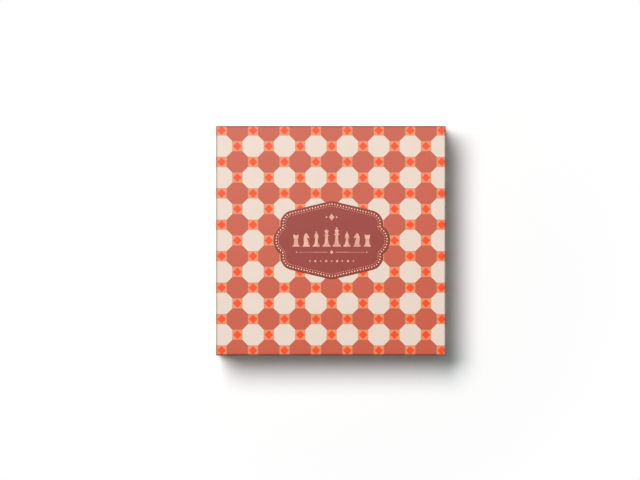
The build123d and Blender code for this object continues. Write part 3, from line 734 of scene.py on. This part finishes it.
# The foil is a metal film pressed into the paper: copper pink, bright where it meets the light.
# The dots are pressed from a paler foil. Each row of them has a distance from the label's edge
# and a spacing, and its dots a radius, a height and as many sides as their size needs.
copper_foil = stamped("copper_foil_hot_stamped", "#D0A592", "#BF8F7B")
pale_foil = stamped("pale_copper_foil_hot_stamped", "#E6BBA0", "#D6AD94")
rows = [(3.4, 3.45, 0.77, 0.055, 12), (5.9, 2.7, 0.4, 0.04, 8)]
dots = [dot for distance, spacing, *size in rows
        for dot in domes(evenly(outline + distance * normals, spacing), *size)]
beads = build("label_foil_beads", dots, pale_foil)
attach(beads, "lid")

# The ornaments: a row of eight chessmen, each its own outline and its mirror image, a diamond
# between two small ones over them, and a rule and a row of diamonds under them.
SCALE, STEP = 23.3 / HEIGHTS["king"], 12.2
OVER, ROW, RULE, UNDER = 27.6, -7.7, -14.3, -25.0
INNER, OUTER = 5.0, 40.0  # where each half of the rule starts and ends
horse = np.vstack([back, front[::-1]]) + (0, plinth_top)
figures = []
for place, kind in enumerate(["rook", "knight", "bishop", "queen", "king", "bishop", "knight", "rook"]):
    outlines = [np.vstack([profiles[kind], profiles[kind][::-1] * (-1, 1)])]
    if kind == "king":
        outlines.append(cross)
    if kind == "knight":
        outlines.append(horse * (-1 if place > 3 else 1, 1))
    for layer, shape in enumerate(outlines):
        shape = shape * SCALE + ((place - 3.5) * STEP, ROW)
        figures.append(plate(shape, 0.04 + 0.01 * layer))
for side in (-1, 1):
    # Half of the rule: it thins outwards and ends before a small diamond
    figures.append(plate(np.array([(side * INNER, RULE + 0.3), (side * INNER, RULE - 0.3),
                                   (side * OUTER, RULE - 0.15), (side * OUTER, RULE + 0.15)])))
    figures.append(diamond(side * (OUTER + 2.0), RULE, 2.0, 2.0))
    figures.append(diamond(side * 6.2, OVER, 2.6, 2.6))
figures += [diamond(0, OVER, 6.4, 8.4), diamond(0, RULE, 4.6, 4.6)]
sizes = [2.2, 3.4] * 4 + [2.2]
figures += [diamond(x, UNDER, size, size) for x, size in zip(np.linspace(-26, 26, 9), sizes)]
ornaments = build("label_foil_ornaments", figures, copper_foil)
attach(ornaments, "lid")

# Studio. A white floor; a wide soft light high up at the upper left, so that it falls evenly; a
# weak sky; and a long lens straight above the box.
FLOOR = 30.0
FADE = (0.26, 0.38)  # distances from the middle where the floor starts and ends to turn plain white


def seen(tree):
    """1 where the picture, a sheen or a clear thing shows a surface, and 0 where it only lights."""
    rays = add(tree, "LightPath").node.outputs
    direct = add(tree, "Math", rays["Is Camera Ray"], rays["Is Glossy Ray"], operation="MAXIMUM")
    return add(tree, "Math", direct, rays["Is Transmission Ray"], operation="MAXIMUM")


floor_mesh = bpy.data.meshes.new("floor")
floor_mesh.from_pydata([(-FLOOR, -FLOOR, 0), (FLOOR, -FLOOR, 0), (FLOOR, FLOOR, 0), (-FLOOR, FLOOR, 0)],
                       [], [(0, 1, 2, 3)])
floor = bpy.data.objects.new("floor", floor_mesh)
bpy.context.scene.collection.objects.link(floor)
# Matt white paint. What the camera sees fades from the lit paint to plain white away from the
# box, so that the background is white and the floor keeps the box's shadow.
white = bpy.data.materials.new("floor_white_matt")
white.use_nodes = True
tree = white.node_tree
tree.nodes.remove(tree.nodes["Principled BSDF"])
shown = seen(tree)
away = add(tree, "VectorMath", add(tree, "TexCoord").node.outputs["Object"], operation="LENGTH")
away = next(socket for socket in away.node.outputs if socket.name == "Value")
fade = add(tree, "MapRange", away, *FADE, 0.0, 1.0)
plain = add(tree, "MixShader", add(tree, "Math", shown, fade, operation="MULTIPLY"),
            add(tree, "BsdfDiffuse", (1, 1, 1, 1)), add(tree, "Emission", (1, 1, 1, 1), 1.0))
tree.links.new(plain, tree.nodes["Material Output"].inputs["Surface"])
floor_mesh.materials.append(white)

# The light is an oval softbox that hangs level. Its place to the left and towards the top of the
# picture, and its width and length, are shares of its height over the floor: these and its turn
# about the vertical give the photograph's shadow. The sky is a little blue-green, which keeps the
# shadow of the red box grey, and the light a little red, so that together they stay white.
ABOVE = 12.0
PLACE, SPAN, TURN = (0.685, 0.771), (1.0, 1.387), -31.7
SKY = 0.196
lamp = bpy.data.lights.new("softbox", "AREA")
lamp.shape = "ELLIPSE"
lamp.size, lamp.size_y = (share * ABOVE for share in SPAN)
lamp.energy = 5100
lamp.color = linear("#FFF9F9")[:3]
softbox = bpy.data.objects.new("softbox", lamp)
softbox.location = (-PLACE[0] * ABOVE, PLACE[1] * ABOVE, ABOVE)
softbox.rotation_euler.z = np.radians(TURN)
bpy.context.scene.collection.objects.link(softbox)
world = bpy.data.worlds.new("sky")
bpy.context.scene.world = world
world.use_nodes = True
tree = world.node_tree
shown, sky = seen(tree), tree.nodes["Background"].inputs
tree.links.new(add(tree, "MapRange", shown, 0.0, 1.0, SKY, 1.0), sky["Strength"])
tree.links.new(add(tree, "Mix", shown, linear("#E0FFFD"), linear("#FFFFFF"), data_type="RGBA"),
               sky["Color"])

# The camera looks straight down on a point a little to the left of the lid's middle, from where
# the lid takes as much of the picture's width as in the photograph.
PICTURE_PIXELS, LID_PIXELS = 640, 229.7
FRAME_WIDTH = PICTURE_PIXELS / LID_PIXELS * 2 * lid_high.x
AIM = (-13.05, 0.94)
lens = bpy.data.cameras.new("camera")
lens.lens, lens.sensor_width = 135, 36
camera = bpy.data.objects.new("camera", lens)
camera.location = (AIM[0] * MM, AIM[1] * MM, lid_high.z + FRAME_WIDTH * lens.lens / lens.sensor_width)
bpy.context.scene.collection.objects.link(camera)
bpy.context.scene.camera = camera
bpy.context.scene.view_settings.view_transform = "Standard"
